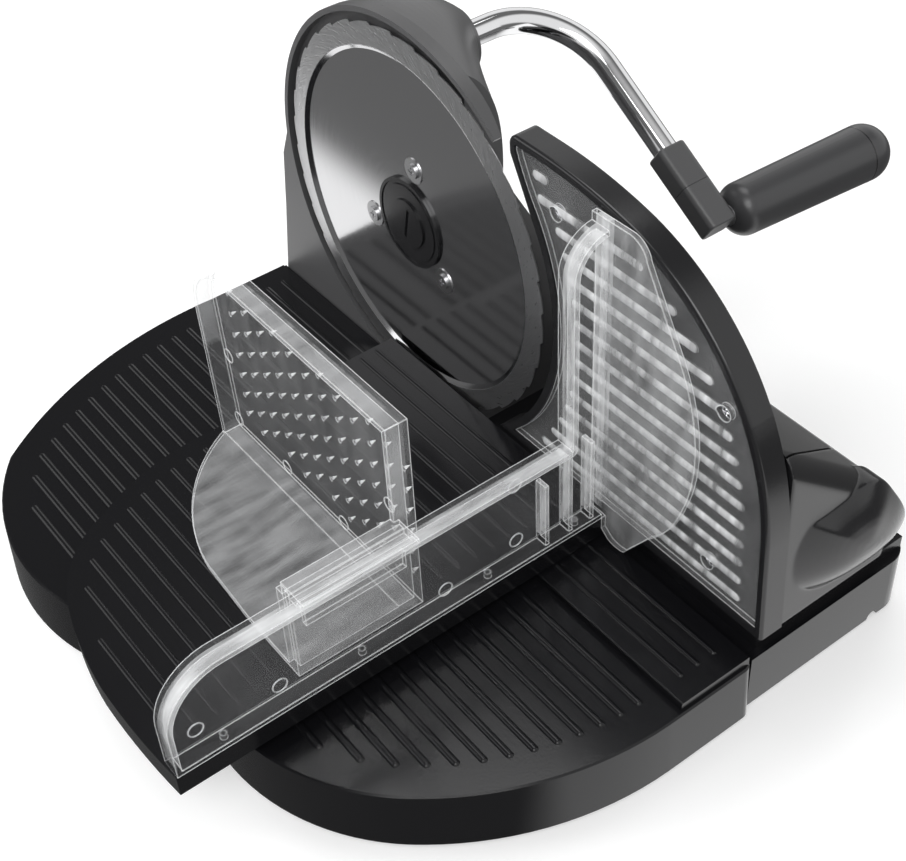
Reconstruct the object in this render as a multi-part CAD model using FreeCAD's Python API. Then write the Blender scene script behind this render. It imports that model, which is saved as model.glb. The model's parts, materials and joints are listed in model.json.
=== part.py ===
import FreeCAD, Part
import math
import os
from FreeCAD import Vector

# Hand crank bread slicer, in millimetres. The blade's cutting face lies in the plane x = 0, the
# blade's axis crosses y = 0, and z = 0 is the table. The crank is at +x, the user stands at -y.

# Base
skirt_bottom = 2.0
base_top = 32.5
base_wall = 2.5
rear_lobe_x = -102.2
rear_lobe_y = 14.1
rear_lobe_radius = 108.1
rear_lobe_start = 138.4
rear_lobe_end = 211.3
front_lobe_x = -80.2
front_lobe_y = -112.8
front_lobe_radius = 104.5
front_lobe_start = 169.8
front_lobe_end = 231.8
base_front = -230.2
base_rear = 128.0
base_corner = 5.0
base_draft = 1.5
base_chamfer = 0.8
base_right = 1.0
joint_gap = 0.6
rear_shelf = 7.0
side_front_inset = 2.1
side_box_width = 99.0
side_box_corner = 13.0
skirt_arch_radius = 3.2
skirt_arch_inset = 21.0
rib_pitch = 9.4
rib_radius = 2.0
base_rib_height = 1.2
base_rib_margin = 14.0
first_rib_gap = 10.5
screw_boss_radius = 4.0
screw_radius = 1.5
screw_head_radius = 3.0
screw_head_height = 1.6
bottom_plate_thickness = 2.0
bottom_plate_recess = 1.2
fit_gap = 0.3
foot_radius = 14.0
foot_stud_radius = 3.0
foot_edge_gap = 0.5

# Rail plate
rail_left = -38.5
rail_right = -0.7
rail_front_inset = 1.7
rail_thickness = 4.3
rail_rib_height = 0.9
rail_rib_radius = 1.6
rail_rib_margin = 10.0
rail_first_rib = 9.6
rail_groove_low = 0.8
rail_groove_high = 2.8
rail_groove_depth = 2.5

# Carriage
carriage_clearance = 0.8
carriage_thickness = 11.2
carriage_wall = 2.5
carriage_left = -220.2
carriage_right = -1.5
carriage_front = -139.0
carriage_rear = 20.5
carriage_travel_front = 85.0
carriage_travel_rear = 105.0
carriage_rib_height = 0.9
carriage_rib_radius = 1.6
carriage_rib_pitch = 9.3
carriage_rib_margin = 8.0
carriage_long_rib_x = -46.0
shoe_length = 18.0
shoe_width = 7.0
shoe_lip = 2.2
shoe_end_gap = 1.0
shoe_front_inset = 20.0
shoe_rear_inset = 12.0
glide_pad_radius = 8.0
glide_pad_x = -140.0
glide_pad_front_y = -105.0
glide_pad_rear_y = -12.0

# Fence
fence_wall = 2.5
fence_wall_front = -132.0
fence_rim_front = -139.5
fence_left = -217.6
fence_height = 50.3
fence_corner = 28.0
fence_tall_left = -20.0
fence_tall_height = 154.3
fence_tall_corner = 18.0
fence_right = -1.0
fence_rib_depth = 6.0
finger_guard_thickness = 2.5

# Pusher
pusher_wall = 2.5
pusher_gap = 0.4
pusher_face = -93.0
pusher_flange = 10.5
pusher_far_end = 14.0
pusher_top_height = 105.3
pusher_far_corner = 28.0
pusher_far_lean = 3.5
pusher_back_width = 62.0
pusher_clip_height = 6.0
pusher_clip_gap = 0.8
pusher_clip_length = 54.0
pusher_clip_inset = 7.0
pusher_flap_depth = 11.0
spike_height = 3.0
spike_radius = 1.2
spike_pitch_y = 11.75
spike_pitch_z = 11.8
spike_drop = 7.75
spike_margin = 9.0

# Blade
blade_radius = 95.0
blade_floor_gap = 2.5
blade_disc_recess = 1.5
blade_sheet = 1.0
blade_bevel_radius = 84.0
blade_bend_width = 2.0
blade_edge_thickness = 0.35
scallop_count = 36
scallop_depth = 1.3
scallop_phase = 8.0
blade_bore_radius = 9.0
blade_screw_circle = 31.0
blade_screw_angle = 100.0
blade_screw_flange_radius = 6.2
blade_screw_flange = 0.5
blade_height = base_top + blade_floor_gap + blade_radius

# Drive
hub_flange_radius = 38.0
hub_flange_thickness = 3.5
hub_shaft_radius = 5.0
hub_cap_radius = 22.5
hub_cap_centre_radius = 12.0
hub_cap_front = -0.9
hub_cap_stem_radius = 6.0
hub_cap_stem_length = 4.0
coin_slot_width = 2.0
coin_slot_length = 16.0
coin_slot_depth = 0.8
running_gap = 0.05
gear_module = 1.5
crank_gear_teeth = 28
idler_pinion_teeth = 20
idler_gear_teeth = 32
blade_pinion_teeth = 16
gear_backlash = 0.25
gear_width_first = 5.0
gear_width_second = 6.0
gear_gap = 1.5
crank_direction = 77.8
bush_wall = 2.5
idler_pin_radius = 4.0
gear_plate_thickness = 2.0
pillar_radius = 4.0

# Housing
guard_gap = 4.0
guard_width = 2.6
guard_end_angle = 131.0
guard_taper_angle = 119.0
guard_end_width = 3.2
guard_depth = 4.0
housing_wall = 2.3
housing_front_y = -42.0
housing_cup_radius = 41.0
housing_split_x = 6.3
boss_end_x = 46.0
boss_radius = 14.5
fairing_steps = 12
fairing_ridge_power = 2.6
fairing_belly_power = 1.7
tower_depth_top = 22.8
tower_depth_bottom = 56.0
tower_shoulder = 36.0
tower_slope_foot = -14.0

# Crank
crank_shaft_radius = 5.0
crank_rod_radius = 6.0
crank_arm_x = 102.5
crank_bend_radius = 41.0
crank_arm_angle = -148.0
crank_block_start = 88.0
crank_block_split = 109.0
crank_block_end = 131.2
crank_block_width = 15.5
crank_block_depth = 13.6
crank_block_rounding = 3.0
crank_block_end_rounding = 1.2
crank_rod_end = 106.0
rod_socket_depth = 13.0
handle_radius_from_axis = 127.0
handle_lean = 2.6
handle_start_x = 111.2
handle_end_x = 207.5
handle_near_radius = 12.6
handle_far_radius = 13.8
handle_cap_share = 0.83
handle_end_flat = 1.5
grip_wall = 3.0
grip_core_wall = 2.5
handle_spindle_radius = 4.0
handle_stud_radius = 2.5
handle_spindle_length = 78.0

# Thickness gauge
gauge_depth = 12.0
gauge_gap_to_guard = 1.0
gauge_rim = 3.6
gauge_rim_rounding = 1.6
gauge_corner = 4.5
gauge_tip_y = -75.2
gauge_top = 84.3
gauge_front_start = -94.0
gauge_front_arcs = ((218.2, 13.2), (108.9, 48.2), (125.0, 25.6))
gauge_web_x = 4.0
gauge_web = 2.5
gauge_bottom_height = 50.0
gauge_insert_face = 0.9
gauge_insert_thickness = 2.6
gauge_rib_pitch = 10.0
gauge_rib_radius = 4.0
gauge_rib_height = 0.85
gauge_rib_margin = 8.0
gauge_travel = 15.0
carrier_left = 14.0
carrier_right = 88.0
carrier_wall = 2.5
carrier_front_inset = 1.6
carrier_length = 114.5
carrier_ridge_height = 138.0
carrier_eave_x = 70.0
carrier_eave_height = 91.0
carrier_shoulder_height = 52.0
carrier_seam_left = 5.5
carrier_seam_right = 27.5
carrier_front_fillet = 10.0
carrier_slide_gap = 0.3
bulge_depth = 9.5
bulge_reach = 11.0
bulge_middle_x = 56.0
bulge_middle_drop = 59.0
plateau_height = 6.8
plateau_inset = 4.0
guide_rod_radius = 4.0
guide_rod_height = 12.7
guide_rod_inset = 26.5
guide_rod_spacing = 60.0
rod_holder_left = 36.0
rod_holder_right = 63.0
rod_holder_thickness = 3.0
slide_web_left = 41.5
slide_web_width = 5.0
lug_left = 40.0
lug_width = 12.0
lug_radius = 8.0
spindle_behind_carrier = 20.0
spindle_height = 60.0
spindle_radius = 4.0
knob_bracket_gap = 3.0
knob_bracket_thickness = 5.0
knob_radius = 17.0
knob_length = 16.0
knob_flutes = 12
knob_flute_radius = 2.0


# Levels and places worked out from the sizes above
rail_top = base_top + rail_thickness
carriage_bottom = rail_top + rail_rib_height + carriage_clearance
carriage_top = carriage_bottom + carriage_thickness
fence_wall_back = fence_wall_front + fence_wall
fence_top = carriage_top + fence_height
fence_tall_top = carriage_top + fence_tall_height
side_box_front = base_front + side_front_inset
side_box_rear = base_rear - rear_shelf
rail_front = base_front + rail_front_inset
rail_rear = side_box_rear
housing_rear_y = side_box_rear
carrier_front = side_box_front + carrier_front_inset
carrier_rear = carrier_front + carrier_length
bulge_front = carrier_front - bulge_depth
handle_reach = (
    crank_arm_x + (handle_end_x - crank_arm_x) * math.cos(math.radians(handle_lean))
    + handle_end_flat * math.sin(math.radians(handle_lean))
)
guide_rod_y = (carrier_front + guide_rod_inset, carrier_front + guide_rod_inset + guide_rod_spacing)
spindle_y = carrier_rear + spindle_behind_carrier
side_box_left = base_right + joint_gap
side_box_right = side_box_left + side_box_width
plate_bottom = skirt_bottom + bottom_plate_recess
plate_top = plate_bottom + bottom_plate_thickness
guard_inner_radius = blade_radius + guard_gap
guard_outer_radius = guard_inner_radius + guard_width
blade_disc_back = blade_disc_recess + blade_sheet
hub_flange_back = blade_disc_back + hub_flange_thickness
cup_front = hub_flange_back + 0.5
cup_back = cup_front + housing_wall
first_gear_x = cup_back + 0.7
second_gear_x = first_gear_x + gear_width_first + gear_gap
gear_plate_x = second_gear_x + gear_width_second + gear_gap
gear_plate_back = gear_plate_x + gear_plate_thickness
first_centre_distance = gear_module * (crank_gear_teeth + idler_pinion_teeth) / 2
second_centre_distance = gear_module * (idler_gear_teeth + blade_pinion_teeth) / 2
gear_line_y = math.cos(math.radians(crank_direction))
gear_line_z = math.sin(math.radians(crank_direction))
idler_y = second_centre_distance * gear_line_y
idler_z = blade_height + second_centre_distance * gear_line_z
crank_distance = first_centre_distance + second_centre_distance
crank_y = crank_distance * gear_line_y
crank_z = blade_height + crank_distance * gear_line_z
plateau_top = base_top + plateau_height
carrier_bottom = plateau_top + carrier_slide_gap
knob_bracket_x = lug_left + lug_width + gauge_travel + knob_bracket_gap
pusher_bottom = carriage_top + carriage_rib_height + pusher_gap
pusher_front = fence_wall_back + pusher_gap
pusher_top = carriage_top + pusher_top_height

UP = Vector(0, 0, 1)
ALONG_X = Vector(1, 0, 0)
ALONG_Y = Vector(0, 1, 0)
DIRECTIONS = {"x": ALONG_X, "y": ALONG_Y, "z": UP}


# Small helpers

def box(x0, x1, y0, y1, z0, z1):
    return Part.makeBox(x1 - x0, y1 - y0, z1 - z0, Vector(x0, y0, z0))


def rod_x(y, z, radius, x0, x1):
    return Part.makeCylinder(radius, x1 - x0, Vector(x0, y, z), ALONG_X)


def rod_y(x, z, radius, y0, y1):
    return Part.makeCylinder(radius, y1 - y0, Vector(x, y0, z), ALONG_Y)


def rod_z(x, y, radius, z0, z1):
    return Part.makeCylinder(radius, z1 - z0, Vector(x, y, z0), UP)


def in_plane(axis, point):
    a, b = point
    if axis == "x":
        return Vector(0, a, b)
    if axis == "y":
        return Vector(a, 0, b)
    return Vector(a, b, 0)


def outline(axis, start, *steps):
    """A closed flat wire. A step is a point for a straight run, or (middle, end) for an arc."""
    edges = []
    here = start
    for step in steps + (start,):
        if isinstance(step[0], tuple):
            middle, there = step
            arc = Part.Arc(in_plane(axis, here), in_plane(axis, middle), in_plane(axis, there))
            edges.append(arc.toShape())
        else:
            there = step
            if math.dist(here, there) > 0.001:
                edges.append(Part.makeLine(in_plane(axis, here), in_plane(axis, there)))
        here = there
    return Part.Wire(edges)


def prism(axis, flat, low, high):
    """A flat wire or face, pushed along its axis from low to high."""
    face = flat if flat.ShapeType == "Face" else Part.Face(flat)
    face = face.translated(DIRECTIONS[axis] * low)
    return face.extrude(DIRECTIONS[axis] * (high - low))


def inset(wire, distance):
    """The face inside a flat wire, drawn in on all sides."""
    offset = Part.Face(wire).makeOffset2D(-distance)
    return offset.Faces[0] if offset.Faces else Part.Face(offset)


def fuse(first, *others):
    parts = [part for part in others if part is not None]
    return first.multiFuse(parts).removeSplitter() if parts else first


def cut(first, *others):
    return first.cut(list(others)) if others else first


def fillet_where(shape, radius, chosen):
    edges = [edge for edge in shape.Edges if chosen(edge)]
    return shape.makeFillet(radius, edges) if edges else shape


def is_upright(edge):
    bounds = edge.BoundBox
    return bounds.ZLength > 1 and bounds.XLength < 0.01 and bounds.YLength < 0.01


def capsule(start, end, radius):
    """A bar with round ends; its whole length, ends included, is from start to end."""
    way = (end - start).normalize()
    first = start + way * radius
    last = end - way * radius
    bar = Part.makeCylinder(radius, (last - first).Length, first, way)
    return bar.fuse([Part.makeSphere(radius, first), Part.makeSphere(radius, last)])


def grid_ribs(face, level, first, pitch, radius, height, ending=None):
    """Half-round ribs along y on a flat top, each as long as the given face is at its x."""
    bounds = face.BoundBox
    ribs = []
    x = first
    while x > bounds.XMin:
        if x < bounds.XMax:
            line = Part.makeLine(Vector(x, bounds.YMin - 1, 0), Vector(x, bounds.YMax + 1, 0))
            for edge in face.common(line).Edges:
                low = edge.BoundBox.YMin
                high = edge.BoundBox.YMax
                if ending is not None:
                    low = max(low, ending)
                if high - low > 4 * radius:
                    z = level + height - radius
                    ribs.append(capsule(Vector(x, low, z), Vector(x, high, z), radius))
        x = x - pitch
    return ribs


def screw_z(x, y, head_low, shank_high):
    """An upright screw with its head below."""
    head = rod_z(x, y, screw_head_radius, head_low, head_low + screw_head_height)
    shank = rod_z(x, y, screw_radius, head_low, shank_high)
    return fuse(head, shank)


def screw_x(y, z, head_low, shank_high, head_radius=screw_head_radius):
    """A screw along x with its head at the low end and a cross recess."""
    head = rod_x(y, z, head_radius, head_low, head_low + screw_head_height)
    shank = rod_x(y, z, screw_radius, head_low, shank_high)
    slot = 0.8
    depth = screw_head_height / 2
    reach = head_radius * 0.6
    across = box(head_low - 1, head_low + depth, y - reach, y + reach, z - slot / 2, z + slot / 2)
    upright = box(head_low - 1, head_low + depth, y - slot / 2, y + slot / 2, z - reach, z + reach)
    return cut(fuse(head, shank), across, upright)


def group(shapes):
    return Part.makeCompound(shapes)


# Base

def lobe_point(x, y, radius, degrees):
    angle = math.radians(degrees)
    return x + radius * math.cos(angle), y + radius * math.sin(angle)


def base_outline(grow):
    """Straight right edge, two lobes with a waist between them, and flat shoulders."""
    right = base_right
    front = base_front - grow
    rear = base_rear + grow
    rear_radius = rear_lobe_radius + grow
    front_radius = front_lobe_radius + grow
    rear_start = lobe_point(rear_lobe_x, rear_lobe_y, rear_radius, rear_lobe_start)
    rear_middle = lobe_point(rear_lobe_x, rear_lobe_y, rear_radius, 175)
    rear_end = lobe_point(rear_lobe_x, rear_lobe_y, rear_radius, rear_lobe_end)
    front_start = lobe_point(front_lobe_x, front_lobe_y, front_radius, front_lobe_start)
    front_middle = lobe_point(front_lobe_x, front_lobe_y, front_radius, 200)
    front_end = lobe_point(front_lobe_x, front_lobe_y, front_radius, front_lobe_end)
    bend = base_corner * (1 - math.sqrt(0.5))
    return outline(
        "z",
        (right, front + base_corner),
        ((right - bend, front + bend), (right - base_corner, front)),
        (-46, front),
        ((-104.3 - 0.35 * grow, base_front + 11.5 - 0.93 * grow), front_end),
        (front_middle, front_start),
        ((-185.5 - grow, -66), rear_end),
        (rear_middle, rear_start),
        ((-116 - 0.3 * grow, base_rear - 8.1 + 0.95 * grow), (-45, rear)),
        (right, rear),
    )


def base_boss_places():
    rear = base_rear - 20
    front = base_front + 20
    left = rear_lobe_x - rear_lobe_radius + 22
    middle = (rear_lobe_y + front_lobe_y) / 2
    return [
        (base_right - 14, rear),
        (base_right - 14, front),
        (rear_lobe_x, rear - 14),
        (front_lobe_x, front + 14),
        (left, rear_lobe_y),
        (base_right - 14, middle),
    ]


def side_boss_places():
    left = side_box_left + 12
    right = side_box_right - 12
    return [
        (left, side_box_front + 30),
        (right, side_box_front + 42),
        (left, side_box_rear - 14),
        (right, side_box_rear - 34),
    ]


def foot_places():
    out = foot_radius + foot_edge_gap
    box_out = out + base_wall
    return {
        "foot_front_left": lobe_point(front_lobe_x, front_lobe_y, front_lobe_radius - out, 218),
        "foot_rear_left": lobe_point(rear_lobe_x, rear_lobe_y, rear_lobe_radius - out, 142),
        "foot_front_right": (side_box_right - box_out, side_box_front + box_out),
        "foot_rear_right": (side_box_right - box_out, side_box_rear - box_out),
    }


def make_base_body():
    levels = (
        (base_draft, skirt_bottom),
        (0, base_top - base_chamfer),
        (-base_chamfer, base_top),
    )
    wires = [base_outline(grow).translated(UP * level) for grow, level in levels]
    body = Part.makeLoft(wires, True, True)
    inner = prism("z", base_outline(-base_wall), skirt_bottom - 1, base_top - base_wall)
    inner_side = box(-300, base_right - base_wall, -300, 300, 0, base_top)
    body = body.cut(inner.common(inner_side))
    bosses = [
        rod_z(x, y, screw_boss_radius, plate_top, base_top - base_wall)
        for x, y in base_boss_places()
    ]
    ribs = grid_ribs(
        Part.Face(base_outline(-base_rib_margin)), base_top, rail_left - first_rib_gap,
        rib_pitch, rib_radius, base_rib_height,
    )
    body = fuse(body, *bosses, *ribs)
    pilots = [
        rod_z(x, y, screw_radius, plate_top - 1, base_top - base_wall - 4)
        for x, y in base_boss_places()
    ]
    return cut(body, *pilots)


def make_bottom_plate():
    plate = prism("z", base_outline(-base_wall - fit_gap), plate_bottom, plate_top)
    plate = plate.common(box(-300, base_right - base_wall - fit_gap, -300, 300, 0, base_top))
    holes = [rod_z(x, y, screw_radius + fit_gap, 0, plate_top + 1) for x, y in base_boss_places()]
    places = foot_places()
    studs = [
        rod_z(*places[name], foot_stud_radius, 0, plate_top + 1)
        for name in ("foot_front_left", "foot_rear_left")
    ]
    return cut(plate, *holes, *studs)


def side_block(draw_in, low, high):
    block = box(
        side_box_left + draw_in, side_box_right - draw_in,
        side_box_front + draw_in, side_box_rear - draw_in, low, high,
    )
    right = side_box_left + side_box_width / 2
    return fillet_where(
        block, side_box_corner - min(draw_in, side_box_corner / 2),
        lambda edge: is_upright(edge) and edge.BoundBox.XMin > right,
    )


def make_side_box():
    body = side_block(0, skirt_bottom, base_top)
    plateau = box(
        side_box_left + plateau_inset + 2, side_box_right - plateau_inset,
        side_box_front + plateau_inset, carrier_rear - plateau_inset,
        base_top - base_wall, plateau_top,
    )
    body = fuse(body, plateau)
    body = body.cut(side_block(base_wall, skirt_bottom - 1, base_top - base_wall))
    arch = rod_y(
        side_box_right - skirt_arch_inset, skirt_bottom, skirt_arch_radius,
        side_box_front - 1, side_box_front + base_wall + 0.5,
    )
    bosses = [
        rod_z(x, y, screw_boss_radius, plate_top, base_top - base_wall)
        for x, y in side_boss_places()
    ]
    body = fuse(body.cut(arch), *bosses)
    pilots = [
        rod_z(x, y, screw_radius, plate_top - 1, base_top - base_wall - 4)
        for x, y in side_boss_places()
    ]
    return cut(body, *pilots)


def make_side_bottom_plate():
    plate = side_block(base_wall + fit_gap, plate_bottom, plate_top)
    holes = [rod_z(x, y, screw_radius + fit_gap, 0, plate_top + 1) for x, y in side_boss_places()]
    places = foot_places()
    studs = [
        rod_z(*places[name], foot_stud_radius, 0, plate_top + 1)
        for name in ("foot_front_right", "foot_rear_right")
    ]
    return cut(plate, *holes, *studs)


def make_base_screws():
    places = base_boss_places() + side_boss_places()
    head_low = plate_bottom - screw_head_height
    return group([screw_z(x, y, head_low, plate_top + 12) for x, y in places])


def make_foot(place):
    x, y = place
    pad = rod_z(x, y, foot_radius, 0, skirt_bottom - fit_gap)
    pad = fillet_where(pad, 0.8, lambda edge: edge.BoundBox.ZMax < 0.01)
    neck = rod_z(x, y, foot_radius - base_wall, 0, plate_bottom)
    return fuse(pad, neck, rod_z(x, y, foot_stud_radius, 0, plate_top + 1))


def make_rail_plate():
    plate = box(rail_left, rail_right, rail_front, rail_rear, base_top, rail_top)
    plate = fillet_where(
        plate, 0.8,
        lambda edge: edge.BoundBox.ZMin > rail_top - 0.01 and edge.BoundBox.XMax < rail_right - 0.01,
    )
    groove = box(
        rail_left - 1, rail_left + rail_groove_depth,
        carriage_front + shoe_front_inset - carriage_travel_front - shoe_end_gap,
        carriage_rear - shoe_rear_inset + carriage_travel_rear + shoe_end_gap,
        base_top + rail_groove_low, base_top + rail_groove_high,
    )
    face = Part.Face(outline(
        "z",
        (rail_left + 3, rail_front + rail_rib_margin),
        (rail_right - 3, rail_front + rail_rib_margin),
        (rail_right - 3, rail_rear - rail_rib_margin),
        (rail_left + 3, rail_rear - rail_rib_margin),
    ))
    ribs = grid_ribs(
        face, rail_top, rail_right - rail_first_rib, carriage_rib_pitch,
        rail_rib_radius, rail_rib_height,
    )
    return fuse(cut(plate, groove), *ribs)


# Carriage, fence and pusher

def carriage_outline():
    """Straight front, right and rear edges, and a left edge that curves into the rear edge."""
    return outline(
        "z",
        (carriage_right, carriage_front),
        (carriage_right, carriage_rear),
        (carriage_left + 110.2, carriage_rear),
        ((carriage_left + 78.2, carriage_rear - 3.5), (carriage_left + 47.6, carriage_rear - 16.1)),
        ((carriage_left + 25.7, carriage_rear - 30), (carriage_left + 11.6, carriage_rear - 51.1)),
        ((carriage_left + 4, carriage_rear - 77.5), (carriage_left + 0.4, carriage_rear - 102.5)),
        ((carriage_left + 0.1, carriage_rear - 125.5), (carriage_left + 2.1, carriage_front)),
    )


def make_carriage():
    wire = carriage_outline()
    body = prism("z", wire, carriage_bottom, carriage_top)
    inner = inset(wire, carriage_wall)
    body = body.cut(prism("z", inner, carriage_bottom - 1, carriage_top - carriage_wall))
    ribs = []
    for margin, low_x, high_x in (
        (carriage_rib_margin, carriage_left, carriage_long_rib_x),
        (carriage_wall, carriage_long_rib_x, carriage_right),
    ):
        field = Part.Face(outline(
            "z",
            (low_x, carriage_front), (high_x, carriage_front),
            (high_x, carriage_rear), (low_x, carriage_rear),
        ))
        ribs = ribs + grid_ribs(
            inset(wire, margin).common(field), carriage_top, carriage_right - 2.2,
            carriage_rib_pitch, carriage_rib_radius, carriage_rib_height, pusher_front + 6,
        )
    holes = [
        rod_z(x, y, screw_radius + fit_gap, carriage_top - carriage_wall - 1, carriage_top + 1)
        for x, y in fence_screw_places()
    ]
    return cut(fuse(body, *ribs), *holes)


def make_guide_shoes():
    """Two blocks under the carriage that hook into the rail plate's side groove."""
    under = carriage_top - carriage_wall
    low = base_top + rail_groove_low + 0.3
    shoes = []
    for start in (
        carriage_front + shoe_front_inset,
        carriage_rear - shoe_rear_inset - shoe_length,
    ):
        side = rail_left - 0.35
        block = box(side - shoe_width, side, start, start + shoe_length, low, under)
        lip = box(
            side - 1, side + shoe_lip, start, start + shoe_length,
            low, base_top + rail_groove_high - 0.3,
        )
        shoes.append(fuse(block, lip))
    return group(shoes)


def make_glide_pads():
    low = base_top + base_rib_height + 0.3
    high = carriage_top - carriage_wall
    return group([
        rod_z(glide_pad_x, y, glide_pad_radius, low, high)
        for y in (glide_pad_front_y, glide_pad_rear_y)
    ])


def fence_screw_places():
    y = fence_wall_front - 2.0
    return [(fence_left + 24, y), (fence_left + 90, y), (fence_left + 155, y), (fence_right - 13.5, y)]


def fence_outline():
    bend = 1 - math.sqrt(0.5)
    low_left = fence_left
    tall_left = fence_tall_left
    corner = fence_corner
    tall = fence_tall_corner
    return outline(
        "y",
        (low_left, carriage_top),
        (low_left, fence_top - corner),
        ((low_left + corner * bend, fence_top - corner * bend), (low_left + corner, fence_top)),
        (tall_left, fence_top),
        (tall_left, fence_tall_top - tall),
        (
            (tall_left + tall * bend, fence_tall_top - tall * bend),
            (tall_left + tall, fence_tall_top),
        ),
        (fence_right, fence_tall_top),
        (fence_right, carriage_top),
    )


def finger_guard_outline():
    """The D-shaped plate at the fence's right end, seen along x."""
    back = fence_wall_back
    z = blade_height
    return outline(
        "x",
        (back, carriage_top),
        (back, z + 78),
        (-150, z + 78.5),
        ((-156.5, z + 76.5), (-160.5, z + 70.5)),
        (-178, z + 40),
        ((-191.5, z), (-187, z - 38)),
        ((-180, z - 55), (-168.6, z - 70)),
        (-154, carriage_bottom + 1.2),
        ((-149, carriage_bottom + 0.3), (-144, carriage_bottom + 1.2)),
        (carriage_front - 0.3, carriage_bottom + 5),
        (carriage_front - 0.3, carriage_top),
    )


def make_fence():
    wire = fence_outline()
    wall = prism("y", wire, fence_wall_front, fence_wall_back)
    rim = prism("y", wire, fence_rim_front, fence_wall_front)
    rim = rim.cut(prism("y", inset(wire, fence_wall), fence_rim_front - 1, fence_wall_front))
    guard = prism("x", finger_guard_outline(), fence_right - finger_guard_thickness, fence_right)
    ribs = [
        box(x - 1, x + 1, fence_wall_front - fence_rib_depth, fence_wall_front + 0.5, carriage_top, high)
        for x, high in (
            (fence_tall_left - 13, fence_top - 13),
            (fence_tall_left, fence_top),
            (fence_right - 7, fence_top - 3),
        )
    ]
    body = fuse(wall, rim, guard, *ribs)
    pilots = [
        rod_z(x, y, screw_radius, carriage_top - 1, carriage_top + fence_wall - 0.3)
        for x, y in fence_screw_places()
    ]
    return cut(body, *pilots)


def make_fence_screws():
    under = carriage_top - carriage_wall
    screws = []
    for x, y in fence_screw_places():
        head = rod_z(x, y, screw_head_radius - 0.8, under - screw_head_height, under)
        shank = rod_z(x, y, screw_radius, under - screw_head_height, carriage_top + fence_wall - 0.3)
        screws.append(fuse(head, shank))
    return group(screws)


def pusher_plate_outline(draw_in):
    front = pusher_front + draw_in
    far = pusher_far_end - draw_in
    top = pusher_top - draw_in
    low = pusher_bottom + draw_in
    corner = pusher_far_corner - draw_in
    bend = 1 - math.sqrt(0.5)
    lean = pusher_far_lean
    return outline(
        "x",
        (front, low),
        (far, low),
        (far + lean, top - corner),
        ((far + lean - corner * bend, top - corner * bend), (far + lean - corner, top)),
        (front, top),
    )


def spike_places():
    """Columns along y; each column is a little lower than the one before it."""
    places = []
    columns = int((pusher_far_end - pusher_front) / spike_pitch_y)
    rows = int(2 * pusher_top_height / spike_pitch_z)
    for column in range(columns):
        y = pusher_far_end - spike_margin + 1 - column * spike_pitch_y
        for row in range(rows):
            z = pusher_bottom + (column * spike_drop) % spike_pitch_z + row * spike_pitch_z
            if pusher_bottom + spike_margin / 2 < z < pusher_top - 20:
                places.append((y, z))
    return places


def make_pusher():
    back = pusher_face - pusher_flange
    plate = prism("x", pusher_plate_outline(0), pusher_face - pusher_wall, pusher_face)
    flange = prism("x", pusher_plate_outline(0), back, pusher_face - pusher_wall)
    flange = flange.cut(prism("x", pusher_plate_outline(pusher_wall), back - 1, pusher_face))
    left = pusher_face - pusher_back_width
    clip_left = left
    clip_right = left + pusher_clip_length
    clip_low = fence_top + pusher_clip_gap
    clip_top = fence_top + pusher_clip_height
    near_wall = box(
        left, pusher_face, pusher_front, pusher_front + pusher_wall, pusher_bottom, fence_top - 1,
    )
    edge_rib = box(
        left, left + pusher_wall, pusher_front, pusher_front + 7, pusher_bottom, fence_top - 1,
    )
    riser = box(
        clip_left, clip_right, pusher_front, pusher_front + pusher_wall, fence_top - 2, clip_top,
    )
    front = fence_rim_front - pusher_clip_gap - pusher_wall
    roof = box(
        clip_left, clip_right, front, pusher_front + pusher_wall, clip_top - pusher_wall, clip_top,
    )
    rest = box(
        clip_left, clip_right, fence_rim_front + 2, fence_wall_front,
        clip_low, clip_top - pusher_wall,
    )
    flap = box(
        clip_left, clip_right - pusher_clip_inset, front, front + pusher_wall,
        clip_top - pusher_flap_depth, clip_top,
    )
    floor_left = left
    floor = prism("z", outline(
        "z",
        (back + 1, pusher_front),
        (back + 1, pusher_far_end),
        ((-134, -11), (floor_left + 2, -55)),
        (floor_left, -90),
        (floor_left, pusher_front),
    ), pusher_bottom, pusher_bottom + pusher_wall - 0.3)
    spikes = [
        Part.makeCone(
            spike_radius, 0.15, spike_height + 0.3, Vector(pusher_face - 0.3, y, z), ALONG_X,
        )
        for y, z in spike_places()
    ]
    return fuse(plate, flange, near_wall, edge_rib, riser, roof, rest, flap, floor, *spikes)


# Blade and gears

def blade_edge_wire():
    """Outer edge with shallow ratchet-like scallops, seen along x."""
    step = 2 * math.pi / scallop_count
    tip = blade_radius
    root = blade_radius - scallop_depth

    def at(radius, angle):
        return Vector(0, radius * math.cos(angle), blade_height + radius * math.sin(angle))

    edges = []
    for index in range(scallop_count):
        start = math.radians(scallop_phase) + index * step
        end = start + step
        first = at(root, start)
        middle = at(root + 0.8 * scallop_depth, start + 0.55 * step)
        last = at(tip, end - 0.08 * step)
        edges.append(Part.Arc(first, middle, last).toShape())
        edges.append(Part.makeLine(last, at(root, end)))
    return Part.Wire(edges)


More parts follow.
